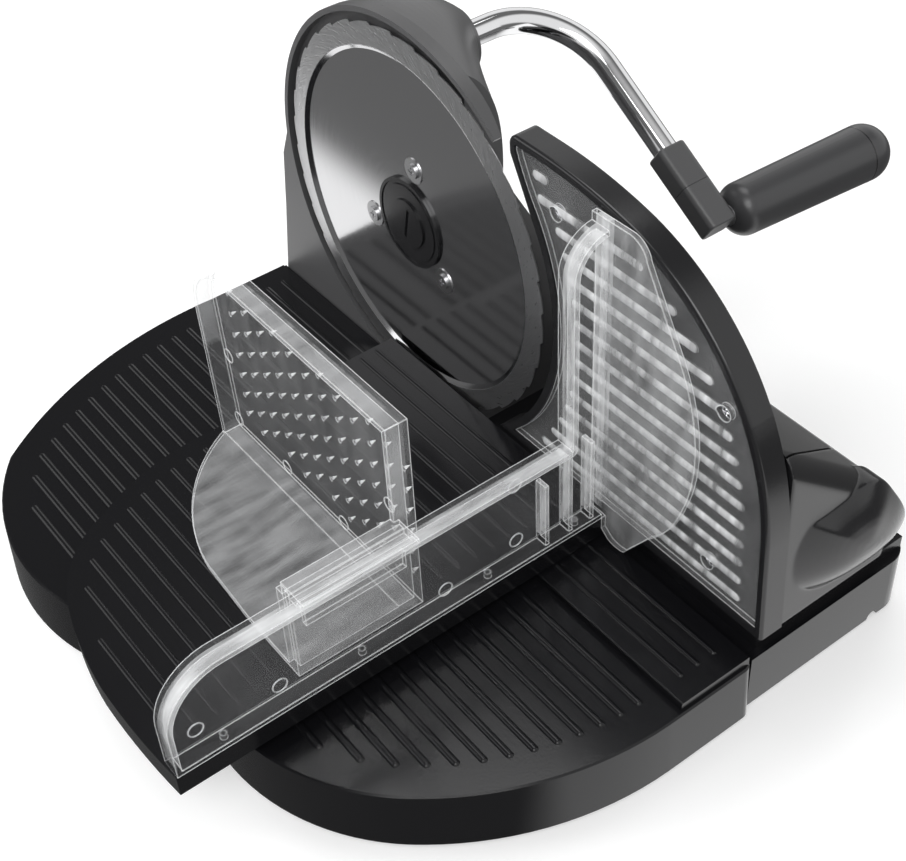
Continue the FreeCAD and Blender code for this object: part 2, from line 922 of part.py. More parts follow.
def make_blade():
    recess = blade_disc_recess
    back = blade_disc_back
    bend = blade_bevel_radius - blade_bend_width
    edge_front = recess - 0.4
    z = blade_height
    profile = outline(
        "y",
        (recess, z + blade_bore_radius),
        (recess, z + bend),
        (0, z + blade_bevel_radius),
        (edge_front, z + blade_radius + 1),
        (edge_front + blade_edge_thickness, z + blade_radius + 1),
        (blade_sheet + 0.35, z + blade_bevel_radius),
        (back, z + bend),
        (back, z + blade_bore_radius),
    )
    disc = Part.Face(profile).revolve(Vector(0, 0, blade_height), ALONG_X, 360)
    disc = disc.common(prism("x", blade_edge_wire(), -1, back + 1))
    holes = [rod_x(y, z, screw_radius + fit_gap, -1, back + 1) for y, z in blade_screw_places()]
    return cut(disc, *holes)


def blade_screw_places():
    places = []
    for index in range(3):
        angle = math.radians(blade_screw_angle + 120 * index)
        places.append((
            blade_screw_circle * math.cos(angle),
            blade_height + blade_screw_circle * math.sin(angle),
        ))
    return places


def make_blade_screws():
    front = blade_disc_recess - screw_head_height + 0.3
    screws = []
    for y, z in blade_screw_places():
        screw = screw_x(y, z, front - 0.3, hub_flange_back - 0.5, 3.6)
        flange = rod_x(
            y, z, blade_screw_flange_radius, blade_disc_recess - blade_screw_flange, blade_disc_recess,
        )
        screws.append(fuse(screw, flange))
    return group(screws)


def make_blade_hub():
    """Flange behind the blade, with the shaft that carries the pinion."""
    flange = rod_x(0, blade_height, hub_flange_radius, blade_disc_back, hub_flange_back)
    spigot = rod_x(0, blade_height, blade_bore_radius - running_gap, blade_disc_recess, blade_disc_back)
    shaft = rod_x(0, blade_height, hub_shaft_radius, hub_flange_back, gear_plate_back + 4)
    pocket = rod_x(
        0, blade_height, hub_cap_stem_radius + running_gap,
        blade_disc_recess - 1, blade_disc_recess + hub_cap_stem_length,
    )
    holes = [
        rod_x(y, z, screw_radius, blade_disc_back - 1, hub_flange_back - 0.5)
        for y, z in blade_screw_places()
    ]
    return cut(fuse(flange, spigot, shaft), pocket, *holes)


def make_hub_cap():
    """Round cap with raised rings and a coin slot."""
    z = blade_height
    front = hub_cap_front
    back = blade_disc_recess - running_gap
    cap = rod_x(0, z, hub_cap_radius, front + 0.9, back)
    groove = rod_x(0, z, hub_cap_radius - 1.6, front, front + 1.4)
    ring = rod_x(0, z, hub_cap_radius - 3.2, front + 0.9, back)
    centre = rod_x(0, z, hub_cap_centre_radius, front, back)
    stem = rod_x(0, z, hub_cap_stem_radius, back, blade_disc_recess + hub_cap_stem_length - 0.5)
    slot = box(
        front - 1, front + coin_slot_depth, -coin_slot_width / 2, coin_slot_width / 2,
        z - coin_slot_length / 2, z + coin_slot_length / 2,
    )
    slot.rotate(Vector(0, 0, z), ALONG_X, 12)
    return cut(fuse(cut(cap, groove), ring, centre, stem), slot)


def gear_wire(teeth, turn):
    """Teeth as straight-sided trapezoids with a small backlash, seen along x, centred on zero."""
    pitch_radius = gear_module * teeth / 2
    outer = pitch_radius + gear_module
    root = pitch_radius - 1.25 * gear_module
    step = 2 * math.pi / teeth
    half = step / 4 - gear_backlash / (2 * pitch_radius)
    slope = math.tan(math.radians(20)) / pitch_radius
    points = []
    for index in range(teeth):
        middle = turn + index * step
        for radius, side in ((root, -1), (outer, -1), (outer, 1), (root, 1)):
            angle = middle + side * (half - slope * (radius - pitch_radius))
            points.append((radius * math.cos(angle), radius * math.sin(angle)))
    return outline("x", *points)


def gear(teeth, turn, y, z, x0, width):
    body = prism("x", gear_wire(teeth, turn), x0, x0 + width)
    body.translate(Vector(0, y, z))
    return body


def gear_turns():
    """Turn of each gear at rest, so that teeth sit in gaps along the line of centres."""
    line = math.radians(crank_direction)
    down = line + math.pi
    crank = down
    idler_pinion = line + math.pi / idler_pinion_teeth
    idler_gear = down
    blade = line + math.pi / blade_pinion_teeth
    return crank, idler_pinion, idler_gear, blade


def make_blade_pinion():
    turn = gear_turns()[3]
    body = gear(blade_pinion_teeth, turn, 0, blade_height, second_gear_x, gear_width_second)
    return body.cut(rod_x(0, blade_height, hub_shaft_radius, second_gear_x - 1, gear_plate_x))


def make_idler_gear():
    """Small gear driven by the crank gear, in one piece with the large gear that drives the blade."""
    turns = gear_turns()
    small = gear(idler_pinion_teeth, turns[1], idler_y, idler_z, first_gear_x, gear_width_first)
    neck = rod_x(
        idler_y, idler_z, idler_pin_radius + bush_wall + 1,
        first_gear_x, second_gear_x + gear_width_second,
    )
    large = gear(idler_gear_teeth, turns[2], idler_y, idler_z, second_gear_x, gear_width_second)
    bore = rod_x(idler_y, idler_z, idler_pin_radius + running_gap, 0, gear_plate_back)
    return cut(fuse(small, neck, large), bore)


def make_crank_gear():
    turn = gear_turns()[0]
    body = gear(crank_gear_teeth, turn, crank_y, crank_z, first_gear_x, gear_width_first)
    hub = rod_x(crank_y, crank_z, crank_shaft_radius + 4, first_gear_x, gear_plate_x - 0.5)
    return cut(fuse(body, hub), rod_x(crank_y, crank_z, crank_shaft_radius, 0, gear_plate_back))


def make_idler_pin():
    return rod_x(idler_y, idler_z, idler_pin_radius, cup_back, gear_plate_back)


def pillar_places():
    """Four pillars clear of the gears, as (y, height)."""
    z = blade_height
    return [(-19, z + 5), (27, z - 4), (-12, z + 60), (39, z + 54)]


def make_gear_plate():
    z = blade_height
    plate = prism("x", outline(
        "x",
        (-25, z - 4), (-10, z - 13), (10, z - 13), (33, z - 10), (45, z + 50), (40, z + 60),
        (25, z + 83), (5, z + 83), (-18, z + 66), (-17, z + 22), (-25, z + 12),
    ), gear_plate_x, gear_plate_back)
    bores = [
        rod_x(0, blade_height, hub_shaft_radius + bush_wall, 0, boss_end_x),
        rod_x(idler_y, idler_z, idler_pin_radius, 0, boss_end_x),
        rod_x(crank_y, crank_z, crank_shaft_radius + bush_wall, 0, boss_end_x),
    ]
    holes = [rod_x(py, pz, screw_radius + fit_gap, 0, boss_end_x) for py, pz in pillar_places()]
    return cut(plate, *bores, *holes)


def make_gear_plate_screws():
    screws = []
    for y, z in pillar_places():
        head = rod_x(y, z, screw_head_radius, gear_plate_back, gear_plate_back + screw_head_height)
        shank = rod_x(y, z, screw_radius, gear_plate_x - 8, gear_plate_back)
        screws.append(fuse(head, shank))
    return group(screws)


def bush(y, z, inner, x0, x1, wall=bush_wall):
    sleeve = rod_x(y, z, inner + wall, x0, x1)
    return sleeve.cut(rod_x(y, z, inner + running_gap, x0 - 1, x1 + 1))


def make_shaft_bushes():
    """Plain bushes of the blade shaft, and of the crank shaft's inner end."""
    return group([
        bush(0, blade_height, hub_shaft_radius, cup_front, first_gear_x + gear_width_first),
        bush(0, blade_height, hub_shaft_radius, gear_plate_x - 1, gear_plate_back + 1),
        bush(crank_y, crank_z, crank_shaft_radius, gear_plate_x, gear_plate_back + 1),
    ])


def make_retaining_ring():
    ring = rod_x(0, blade_height, hub_shaft_radius + 3, gear_plate_back + 1.2, gear_plate_back + 2.4)
    return ring.cut(rod_x(0, blade_height, hub_shaft_radius, gear_plate_back, gear_plate_back + 4))


# Housing

def guard_point(radius, degrees):
    angle = math.radians(degrees)
    return radius * math.cos(angle), blade_height + radius * math.sin(angle)


def housing_outline(draw_in):
    """Tower seen along x: blade guard over the top, straight front wall, rear wall that flares."""
    radius = guard_outer_radius - draw_in
    front = housing_front_y + draw_in
    front_z = blade_height + math.sqrt(radius ** 2 - front ** 2)
    z = blade_height
    rear = housing_rear_y - draw_in
    low = base_top
    return outline(
        "x",
        (front, low),
        (front, front_z),
        (guard_point(radius, 60), (radius, z)),
        (rear - 13, z - 15),
        (rear - 8, z - 50),
        (rear - 2, z - 86),
        (rear, low),
    )


def guard_taper():
    """Wedge behind the guard's free end, which narrows towards the front."""
    start = guard_point(guard_outer_radius, guard_taper_angle)[0]
    end = guard_point(guard_outer_radius, guard_end_angle)[0] - 1
    reach = guard_outer_radius + 10
    return prism("z", outline(
        "z",
        (housing_split_x + 1, start),
        (housing_split_x, start),
        ((housing_split_x - 0.9, (start + end) / 2), (guard_end_width, end)),
        (housing_split_x + 1, end),
    ), blade_height + 40, blade_height + reach)


def make_blade_housing():
    """Front half: guard rim round the blade, plate behind the blade, cup for the hub."""
    body = prism("x", housing_outline(0), 0, housing_split_x)
    hook = prism("x", outline(
        "x",
        guard_point(guard_inner_radius - 1, 100),
        guard_point(guard_outer_radius, 100),
        (guard_point(guard_outer_radius, 114), guard_point(guard_outer_radius, guard_end_angle)),
        guard_point(guard_inner_radius - 1, guard_end_angle),
        (guard_point(guard_inner_radius - 1, 114), guard_point(guard_inner_radius - 1, 100)),
    ), 0, housing_split_x)
    body = fuse(body, hook).cut(guard_taper())
    body = body.cut(rod_x(0, blade_height, guard_inner_radius, -1, guard_depth))
    clear = rod_x(0, blade_height, guard_inner_radius, -1, housing_split_x + 1)
    clear = clear.cut(box(-2, boss_end_x, housing_front_y, housing_rear_y, 0, 3 * blade_height))
    body = body.cut(clear)
    z = blade_height
    cup_wall = housing_cup_radius + housing_wall
    inside = housing_front_y + housing_wall + fit_gap
    cup_room = box(-2, boss_end_x, inside, housing_rear_y, 0, 3 * blade_height)
    cup = rod_x(0, z, cup_wall, guard_depth, cup_back).common(cup_room)
    bush_seat = rod_x(0, z, hub_shaft_radius + 2 * bush_wall, cup_front, first_gear_x + gear_width_first)
    pillars = [rod_x(y, z, pillar_radius, housing_split_x - 1, gear_plate_x) for y, z in pillar_places()]
    body = fuse(body, cup, bush_seat, *pillars)
    body = body.cut(rod_x(0, z, housing_cup_radius, -1, cup_front))
    seat_bore = rod_x(0, z, hub_shaft_radius + bush_wall, 0, boss_end_x)
    body = body.cut(seat_bore)
    crank_seat = rod_x(crank_y, crank_z, crank_shaft_radius + 4, housing_split_x, first_gear_x - 0.4)
    body = fuse(body, crank_seat)
    crank_bore = rod_x(crank_y, crank_z, crank_shaft_radius + running_gap, guard_depth + 1, boss_end_x)
    pilots = [rod_x(py, pz, screw_radius, gear_plate_x - 8, gear_plate_x + 1) for py, pz in pillar_places()]
    return cut(body, crank_bore, *pilots)


def tower_profile(draw_in):
    """Depth of the tower seen along y: deep at the foot, shallow at the top."""
    z = blade_height
    top = tower_depth_top - draw_in
    bottom = tower_depth_bottom - draw_in
    return outline(
        "y",
        (housing_split_x - 1, base_top - 1),
        (bottom, base_top - 1),
        (bottom, z + tower_slope_foot - 14),
        ((bottom - 1.5, z + tower_slope_foot - 4), (bottom - 5, z + tower_slope_foot)),
        (top, z + tower_shoulder),
        (top, z + guard_outer_radius + 1),
        (housing_split_x - 1, z + guard_outer_radius + 1),
    )


def fairing(draw_in):
    """Slanting dome from the blade guard to the crank's boss, as rings between ridge and belly."""
    wires = []
    for step in range(fairing_steps + 1):
        share = step / fairing_steps
        ridge_fall = guard_outer_radius - crank_distance - boss_radius
        belly_rise = guard_outer_radius + crank_distance - boss_radius
        ridge = guard_outer_radius - ridge_fall * share ** fairing_ridge_power
        belly = belly_rise * (1 - (1 - share) ** fairing_belly_power) - guard_outer_radius
        x = housing_split_x + share * (boss_end_x - housing_split_x) - 0.8 * draw_in
        middle = (ridge + belly) / 2
        centre = Vector(x, middle * gear_line_y, blade_height + middle * gear_line_z)
        radius = (ridge - belly) / 2 - 0.6 * draw_in
        wires.append(Part.Wire(Part.makeCircle(radius, centre, ALONG_X)))
    return Part.makeLoft(wires, True, True)


def back_block(draw_in):
    tower = prism("x", housing_outline(draw_in), housing_split_x - 0.8 * draw_in, boss_end_x + 20)
    tower = tower.common(prism("y", tower_profile(draw_in), -300, 300))
    side = box(
        housing_split_x - 3, boss_end_x + 1, housing_front_y + draw_in, housing_rear_y + 50,
        base_top, 3 * blade_height,
    )
    low_half = box(0, boss_end_x + 20, -300, 300, 0, blade_height + tower_shoulder)
    return fuse(tower.common(low_half), fairing(draw_in).common(side))


def make_back_cover():
    """Rear half of the housing: a shell that narrows to the crank's boss."""
    shell = back_block(0).cut(back_block(housing_wall))
    shell = shell.common(box(housing_split_x, 200, -300, 300, 0, 300))
    boss = rod_x(crank_y, crank_z, boss_radius, boss_end_x - 16, boss_end_x)
    bore = rod_x(crank_y, crank_z, crank_rod_radius + bush_wall, 0, boss_end_x + 1)
    return cut(fuse(shell, boss), bore)


def make_crank_bush():
    sleeve = bush(crank_y, crank_z, crank_rod_radius, boss_end_x - 16, boss_end_x + 0.8)
    return sleeve


# Crank

def crank_arm_point(reach, x=crank_arm_x):
    angle = math.radians(crank_arm_angle)
    return Vector(x, crank_y + reach * math.cos(angle), crank_z + reach * math.sin(angle))


def make_crank_shaft():
    return rod_x(
        crank_y, crank_z, crank_shaft_radius, housing_split_x, boss_end_x - 16 + rod_socket_depth,
    )


def make_crank_rod():
    """Bent round rod: out along the crank's axis, round one bend and down the arm."""
    start = Vector(boss_end_x - 16, crank_y, crank_z)
    bend_start = Vector(crank_arm_x - crank_bend_radius, crank_y, crank_z)
    bend_end = crank_arm_point(crank_bend_radius)
    inward = crank_arm_point(crank_bend_radius, bend_start.x)
    diagonal = (Vector(crank_arm_x, crank_y, crank_z) - inward).normalize()
    bend_middle = inward + diagonal * crank_bend_radius
    end = crank_arm_point(crank_rod_end)
    path = Part.Wire([
        Part.makeLine(start, bend_start),
        Part.Arc(bend_start, bend_middle, bend_end).toShape(),
        Part.makeLine(bend_end, end),
    ])
    section = Part.Wire(Part.makeCircle(crank_rod_radius, start, ALONG_X))
    rod = path.makePipeShell([section], True, False)
    socket = rod_x(
        crank_y, crank_z, crank_shaft_radius, boss_end_x - 17, boss_end_x - 16 + rod_socket_depth,
    )
    return rod.cut(socket)


def arm_block(start, end, free_end):
    """Block along the crank arm, rounded along its length and at its free end."""
    block = box(
        crank_arm_x - crank_block_width / 2, crank_arm_x + crank_block_width / 2,
        crank_y + start, crank_y + end,
        crank_z - crank_block_depth / 2, crank_z + crank_block_depth / 2,
    )
    block = fillet_where(
        block, crank_block_rounding, lambda edge: edge.BoundBox.YLength > end - start - 0.1,
    )
    block = fillet_where(
        block, crank_block_end_rounding,
        lambda edge: edge.BoundBox.YLength < 0.01
        and abs(edge.BoundBox.YMin - crank_y - free_end) < 0.01,
    )
    block.rotate(Vector(0, crank_y, crank_z), ALONG_X, crank_arm_angle)
    return block


def arm_hole(start, end, radius):
    first = crank_arm_point(start)
    last = crank_arm_point(end)
    return Part.makeCylinder(radius, (last - first).Length, first, last - first)


def handle_centre():
    point = crank_arm_point(handle_radius_from_axis)
    return point.y, point.z


def leaned(shape):
    """Tilts a piece of the handle about its root, so that its far end leans away from the crank."""
    y, z = handle_centre()
    arm = crank_arm_point(1) - crank_arm_point(0)
    tilted = shape.copy()
    tilted.rotate(Vector(crank_arm_x, y, z), ALONG_X.cross(arm), handle_lean)
    return tilted


def make_crank_sleeve():
    sleeve = arm_block(crank_block_start, crank_block_split - 0.2, crank_block_start)
    return sleeve.cut(arm_hole(crank_block_start - 1, crank_block_split, crank_rod_radius))


def make_crank_end_block():
    block = arm_block(crank_block_split, crank_block_end, crank_block_end)
    y, z = handle_centre()
    seat = rod_x(y, z, handle_stud_radius, crank_arm_x - 4, crank_arm_x + crank_block_width)
    return block.cut(leaned(seat))


def make_handle_spindle():
    y, z = handle_centre()
    collar_start = crank_arm_x + crank_block_width / 2 + 0.2
    head_start = handle_start_x + handle_spindle_length
    stud = rod_x(y, z, handle_stud_radius, crank_arm_x - 4, collar_start)
    pin = rod_x(y, z, handle_spindle_radius, collar_start, head_start)
    collar = rod_x(y, z, handle_spindle_radius + 1, collar_start, handle_start_x - 0.3)
    head = rod_x(y, z, handle_spindle_radius + 2, head_start, head_start + 2)
    return leaned(fuse(stud, pin, collar, head))


def grip_radius(x, draw_in):
    """Radius of the grip's straight taper at x, for the outer face or one inside it."""
    start = handle_start_x + handle_near_radius * 0.62
    end = handle_end_x - handle_far_radius * 0.95
    share = (x - start) / (end - start)
    return handle_near_radius + (handle_far_radius - handle_near_radius) * share - draw_in


def turned(profile):
    """Solid turned from a profile that is drawn beside the grip's axis."""
    y, z = handle_centre()
    solid = Part.Face(profile).revolve(Vector(0, 0, z), ALONG_X, 360)
    solid.translate(Vector(0, y, 0))
    return leaned(solid)


def handle_split():
    return handle_start_x + handle_cap_share * (handle_end_x - handle_start_x)


def make_handle_grip():
    """Tapered tube with a rounded near end and a core that turns on the spindle."""
    z = handle_centre()[1]
    near = handle_start_x
    near_edge = near + handle_near_radius * 0.62
    bend = (near + handle_near_radius * 0.17, z + handle_near_radius * 0.80)
    split = handle_split()
    room = near + 1.5 * grip_wall
    bore = handle_spindle_radius + running_gap
    core = handle_spindle_radius + grip_core_wall
    core_end = near + handle_spindle_length - 0.4
    return turned(outline(
        "y",
        (near, z + bore),
        (near, z + handle_near_radius * 0.42),
        (bend, (near_edge, z + handle_near_radius)),
        (split, z + grip_radius(split, 0)),
        (split, z + grip_radius(split, grip_wall)),
        (room, z + grip_radius(room, grip_wall)),
        (room, z + core),
        (core_end, z + core),
        (core_end, z + bore),
    ))


def make_handle_cap():
    """Domed end piece of the grip."""
    z = handle_centre()[1]
    split = handle_split()
    far = handle_end_x
    radius = handle_far_radius
    inner_far = far - grip_wall
    inner_radius = radius - grip_wall
    edge = far - radius * 0.95
    bend = (far - radius * 0.27, z + radius * 0.72)
    inner_bend = (inner_far - inner_radius * 0.27, z + inner_radius * 0.72)
    return turned(outline(
        "y",
        (split, z + grip_radius(split, grip_wall)),
        (split, z + grip_radius(split, 0)),
        (edge, z + radius),
        (bend, (far, z + handle_end_flat)),
        (far, z),
        (inner_far, z),
        (inner_far, z + handle_end_flat),
        (inner_bend, (edge, z + inner_radius)),
    ))


# Thickness gauge

def gauge_outline(draw_in):
    """Plate seen along x: concave edge round the blade, front edge of arcs that flow together."""
    z = blade_height
    concave = guard_outer_radius + gauge_gap_to_guard + draw_in
    low = gauge_bottom_height + draw_in
    low_y = -math.sqrt(concave ** 2 - (z - low) ** 2)
    bend_y, bend_z = concave * math.cos(math.radians(150)), z + concave * math.sin(math.radians(150))
    tip_y = gauge_tip_y - 1.05 * draw_in
    top = z + gauge_top - draw_in
    corner = max(gauge_corner - draw_in, 0.5)
    corner_bend = corner * (1 - math.sqrt(0.5))
    steps = [
        ((-concave, z), (bend_y, bend_z)),
        ((-82.7 - 1.03 * draw_in, z + 63.7 - 0.4 * draw_in), (tip_y, z + 78)),
        (tip_y, top - corner),
        ((tip_y - corner_bend, top - corner_bend), (tip_y - corner, top)),
        (gauge_front_start, top),
    ]
    middle_y = gauge_front_start
    middle_z = z + gauge_top
    heading = 0.0
    radius_before = 0.0
    for radius, turn in gauge_front_arcs:
        middle_y = middle_y + (radius - radius_before) * math.sin(heading)
        middle_z = middle_z - (radius - radius_before) * math.cos(heading)
        half = heading + math.radians(turn / 2)
        heading = heading + math.radians(turn)
        reach = radius - draw_in
        steps.append((
            (middle_y - reach * math.sin(half), middle_z + reach * math.cos(half)),
            (middle_y - reach * math.sin(heading), middle_z + reach * math.cos(heading)),
        ))
        radius_before = radius
    end_y, end_z = steps[-1][1]
    steps.append((end_y - (end_z - low) / math.tan(heading), low))
    return outline("x", (low_y, low), *steps)


def gauge_block(draw_in, low, high):
    return prism("x", gauge_outline(draw_in), low, high)


def gauge_screw_places():
    z = blade_height
    return [(-103.3, z + 60.1), (-200.2, z + 21.7), (-198.8, z - 61.4)]


def gauge_back_places():
    high = blade_height - 15
    low = blade_height - 58
    front = carrier_front + 21.5
    rear = carrier_rear - 16
    return [(front, high), (front, low), (rear, high), (rear, low)]


def make_gauge_frame():
    body = gauge_block(0, 0, gauge_depth)
    body = fillet_where(
        body, gauge_rim_rounding,
        lambda edge: edge.BoundBox.XMax < 0.01
        and edge.BoundBox.ZMax > gauge_bottom_height + 1
        and (edge.BoundBox.YMin < -160 or edge.BoundBox.ZMin > blade_height + 77.9),
    )
    front = gauge_block(gauge_rim, -1, gauge_web_x)
    back = gauge_block(gauge_rim, gauge_web_x + gauge_web, gauge_depth + 1)
    body = body.cut([front, back])
    posts = [
        rod_x(y, z, 4.5, gauge_web_x + 1, carrier_left) for y, z in gauge_back_places()
    ]
    bosses = [
        rod_x(y, z, 4, gauge_web_x + 1, gauge_depth - 3) for y, z in gauge_screw_places()
    ]
    body = fuse(body, *posts, *bosses)
    pilots = [rod_x(y, z, screw_radius, gauge_web_x - 1, gauge_depth - 4) for y, z in gauge_screw_places()]
    back_pilots = [
        rod_x(y, z, screw_radius, gauge_depth - 6, carrier_left + 1)
        for y, z in gauge_back_places()
    ]
    return cut(body, *pilots, *back_pilots)


def make_gauge_insert():
    """Clear plate set into the frame, with ribs along y."""
    face_x = gauge_insert_face
    back = min(face_x + gauge_insert_thickness, gauge_web_x - 0.1)
    plate = gauge_block(gauge_rim + fit_gap, face_x, back)
    bounds = gauge_block(gauge_rim + gauge_rib_margin, 0, 1)
    face = min(bounds.Faces, key=lambda side: side.BoundBox.XMax)
    ribs = []
    z = gauge_bottom_height + gauge_rim + gauge_rib_margin + 1
    while z < blade_height + 74:
        line = Part.makeLine(Vector(0, -300, z), Vector(0, 0, z))
        for edge in face.common(line).Edges:
            low = edge.BoundBox.YMin
            high = edge.BoundBox.YMax
            x = face_x - gauge_rib_height + gauge_rib_radius
            if high - low > 3 * gauge_rib_radius:
                ribs.append(capsule(Vector(x, low, z), Vector(x, high, z), gauge_rib_radius))
        z = z + gauge_rib_pitch
    room = box(-1, back, -300, 0, 0, 300)
    body = fuse(plate, *[rib.common(room) for rib in ribs])
    holes = [rod_x(y, z, screw_head_radius + 0.4, -1, gauge_web_x) for y, z in gauge_screw_places()]
    return cut(body, *holes)


def make_gauge_screws():
    return group([
        screw_x(y, z, gauge_web_x - screw_head_height - 0.1, gauge_depth - 4.5)
        for y, z in gauge_screw_places()
    ])


def carrier_section(draw_in):
    """Carrier seen along y: sloping roof from the gauge plate to the eave, then a steep side."""
    left = carrier_left + draw_in
    right = carrier_right - draw_in
    slope = (carrier_ridge_height - carrier_eave_height) / (carrier_eave_x - carrier_left)
    drop = draw_in * math.sqrt(1 + slope ** 2)
    ridge = carrier_ridge_height - drop - draw_in * slope
    eave_x = carrier_eave_x - 0.7 * draw_in
    eave_z = carrier_ridge_height - drop - slope * (eave_x - carrier_left)
    return outline(
        "y",
        (left, carrier_bottom),
        (left, ridge),
        (eave_x, eave_z),
        ((carrier_right - 5.5 - draw_in, carrier_shoulder_height + 22), (right, carrier_shoulder_height)),
        (right, carrier_bottom),
    )


def bulge_outline(share, draw_in):
    """Outline of the swelling seen along y, drawn in on all sides and shrunk towards its middle."""
    middle_z = blade_height - bulge_middle_drop
    d = draw_in
    points = (
        (31 + 0.5 * d, 94.5 - d), (46, 95.5 - d), (66 - 0.4 * d, 95.5 - d),
        (80.5 - d, 79.5 - 0.4 * d), (90 - d, 52 + d), (80 - d, 47.5 + d), (62, 46 + d),
        (38 + 0.5 * d, 50 + d), (25 + d, 61 + 0.6 * d), (21.5 + d, 76), (24 + d, 88 - 0.5 * d),
    )
    curve = Part.BSplineCurve()
    curve.interpolate(
        Points=[
            Vector(
                bulge_middle_x + (x - bulge_middle_x) * share, 0, middle_z + (z - middle_z) * share,
            )
            for x, z in points
        ],
        PeriodicFlag=True,
    )
    return Part.Wire(curve.toShape())


def bulge_block(draw_in):
    """Rounded swelling on the carrier's front face, with a root that reaches back into it."""
    shares = (1, 0.94, 0.87, 0.79, 0.7, 0.6, 0.49, 0.36, 0.22, 0.1)
    front = carrier_front + draw_in
    wires = [
        bulge_outline(share, draw_in).translated(
            ALONG_Y * (front - bulge_depth * (1 - share ** 2) / (1 - 0.1 ** 2))
        )
        for share in shares
    ]
    dome = Part.makeLoft(wires, True, True)
    root = prism("y", bulge_outline(1, draw_in), front, carrier_front + bulge_reach - draw_in)
    return fuse(dome, root)


def carrier_block(draw_in, front, rear):
    """Solid carrier shape with its front edges rounded."""
    block = prism("y", carrier_section(draw_in), front + draw_in, rear - draw_in)
    return fillet_where(
        block, carrier_front_fillet - draw_in,
        lambda edge: edge.BoundBox.YMax < front + draw_in + 0.01
        and edge.BoundBox.XMax > carrier_left + carrier_wall + 1
        and edge.BoundBox.ZMax > carrier_bottom + 1,
    )


def carrier_shell(front, rear):
    body = carrier_block(0, front, rear)
    inner = carrier_block(carrier_wall, front, rear)
    floor = box(
        carrier_left + carrier_wall, carrier_right - carrier_wall,
        front + carrier_wall, rear - carrier_wall, carrier_bottom - 1, carrier_bottom + 1,
    )
    return body.cut([inner, floor])


def seam_wedge(side):
    """The space in front of (side -1) or behind (side 1) the slanting seam of the two covers."""
    reach = 400 * side
    slope = (carrier_seam_right - carrier_seam_left) / (carrier_eave_x - carrier_left)
    start_y = carrier_front + carrier_seam_left
    gap = 0.15 * side
    low_x = -50
    high_x = 200
    low_y = start_y + slope * (low_x - carrier_left) + gap
    high_y = start_y + slope * (high_x - carrier_left) + gap
    return prism("z", outline(
        "z", (low_x, low_y), (high_x, high_y), (high_x, high_y + reach), (low_x, low_y + reach),
    ), 0, 300)


def make_gauge_covers():
    """Front cover with its bulge, and the main cover behind the slanting seam."""
    shell = carrier_shell(carrier_front, carrier_rear)
    front = fuse(shell, bulge_block(0)).common(seam_wedge(-1))
    front = front.cut(bulge_block(carrier_wall))
    back = shell.common(seam_wedge(1))
    web_right = slide_web_left + slide_web_width
    rod_z_level = plateau_top + guide_rod_height
    web = box(
        slide_web_left, web_right, carrier_front + 8, carrier_rear - 1,
        rod_z_level - guide_rod_radius - 3, carrier_ridge_height,
    ).common(prism("y", carrier_section(carrier_wall / 2), carrier_front, carrier_rear))
    lug_right = lug_left + lug_width
    lug = fuse(
        rod_x(spindle_y, spindle_height, lug_radius, lug_left, lug_right),
        box(
            lug_left, lug_right, carrier_rear - carrier_wall, spindle_y,
            spindle_height - lug_radius, spindle_height + lug_radius,
        ),
    )
    back = fuse(back, web.common(seam_wedge(1)), lug)
    bores = [
        rod_x(y, rod_z_level, guide_rod_radius + running_gap, slide_web_left - 1, web_right + 1)
        for y in guide_rod_y
    ]
    bore_radius = spindle_radius + running_gap
    spindle_bore = rod_x(spindle_y, spindle_height, bore_radius, lug_left - 1, lug_right + 1)
    holes = [
        rod_x(y, z, screw_radius + fit_gap, carrier_left - 1, carrier_left + carrier_wall + 1)
        for y, z in gauge_back_places()
    ]
    return front, cut(back, *bores, spindle_bore, *holes)


def make_gauge_back_screws():
    screws = []
    head_low = carrier_left + carrier_wall
    for y, z in gauge_back_places():
        head = rod_x(y, z, screw_head_radius, head_low, head_low + screw_head_height)
        shank = rod_x(y, z, screw_radius, gauge_depth - 5, head_low + screw_head_height)
        screws.append(fuse(head, shank))
    return group(screws)


def make_rod_holders():
    """Two uprights on the side box that hold both guide rods."""
    level = plateau_top + guide_rod_height
    low_y = min(guide_rod_y) - guide_rod_radius - 3
    high_y = max(guide_rod_y) + guide_rod_radius + 3
    holders = []
    for left in (rod_holder_left, rod_holder_right):
        plate = box(left, left + rod_holder_thickness, low_y, high_y, plateau_top, level + 7)
        bores = [rod_x(y, level, guide_rod_radius, left - 1, left + 9) for y in guide_rod_y]
        holders.append(cut(plate, *bores))
    return group(holders)


def make_guide_rods():
    level = plateau_top + guide_rod_height
    right = rod_holder_right + rod_holder_thickness
    return group([
        rod_x(y, level, guide_rod_radius, rod_holder_left, right) for y in guide_rod_y
    ])


def make_knob_bracket():
    right = knob_bracket_x + knob_bracket_thickness
    post = box(knob_bracket_x, right, spindle_y - 9, spindle_y + 9, base_top, spindle_height)
    foot = box(knob_bracket_x, right + 4, spindle_y - 14, spindle_y + 14, base_top, base_top + 3)
    eye = rod_x(spindle_y, spindle_height, 9, knob_bracket_x, right)
    bore = rod_x(spindle_y, spindle_height, spindle_radius + running_gap, 0, right + 1)
    return cut(fuse(post, foot, eye), bore)


def make_thickness_spindle():
    """Coarse-thread spindle, drawn at its outside size, with the ring that stops it sliding."""
    start = lug_left - 2
    end = knob_bracket_x + knob_bracket_thickness + knob_length - 3
    rod = rod_x(spindle_y, spindle_height, spindle_radius, start, end)
    ring = rod_x(spindle_y, spindle_height, spindle_radius + 2, knob_bracket_x - 1.7, knob_bracket_x - 0.3)
    return fuse(rod, ring)


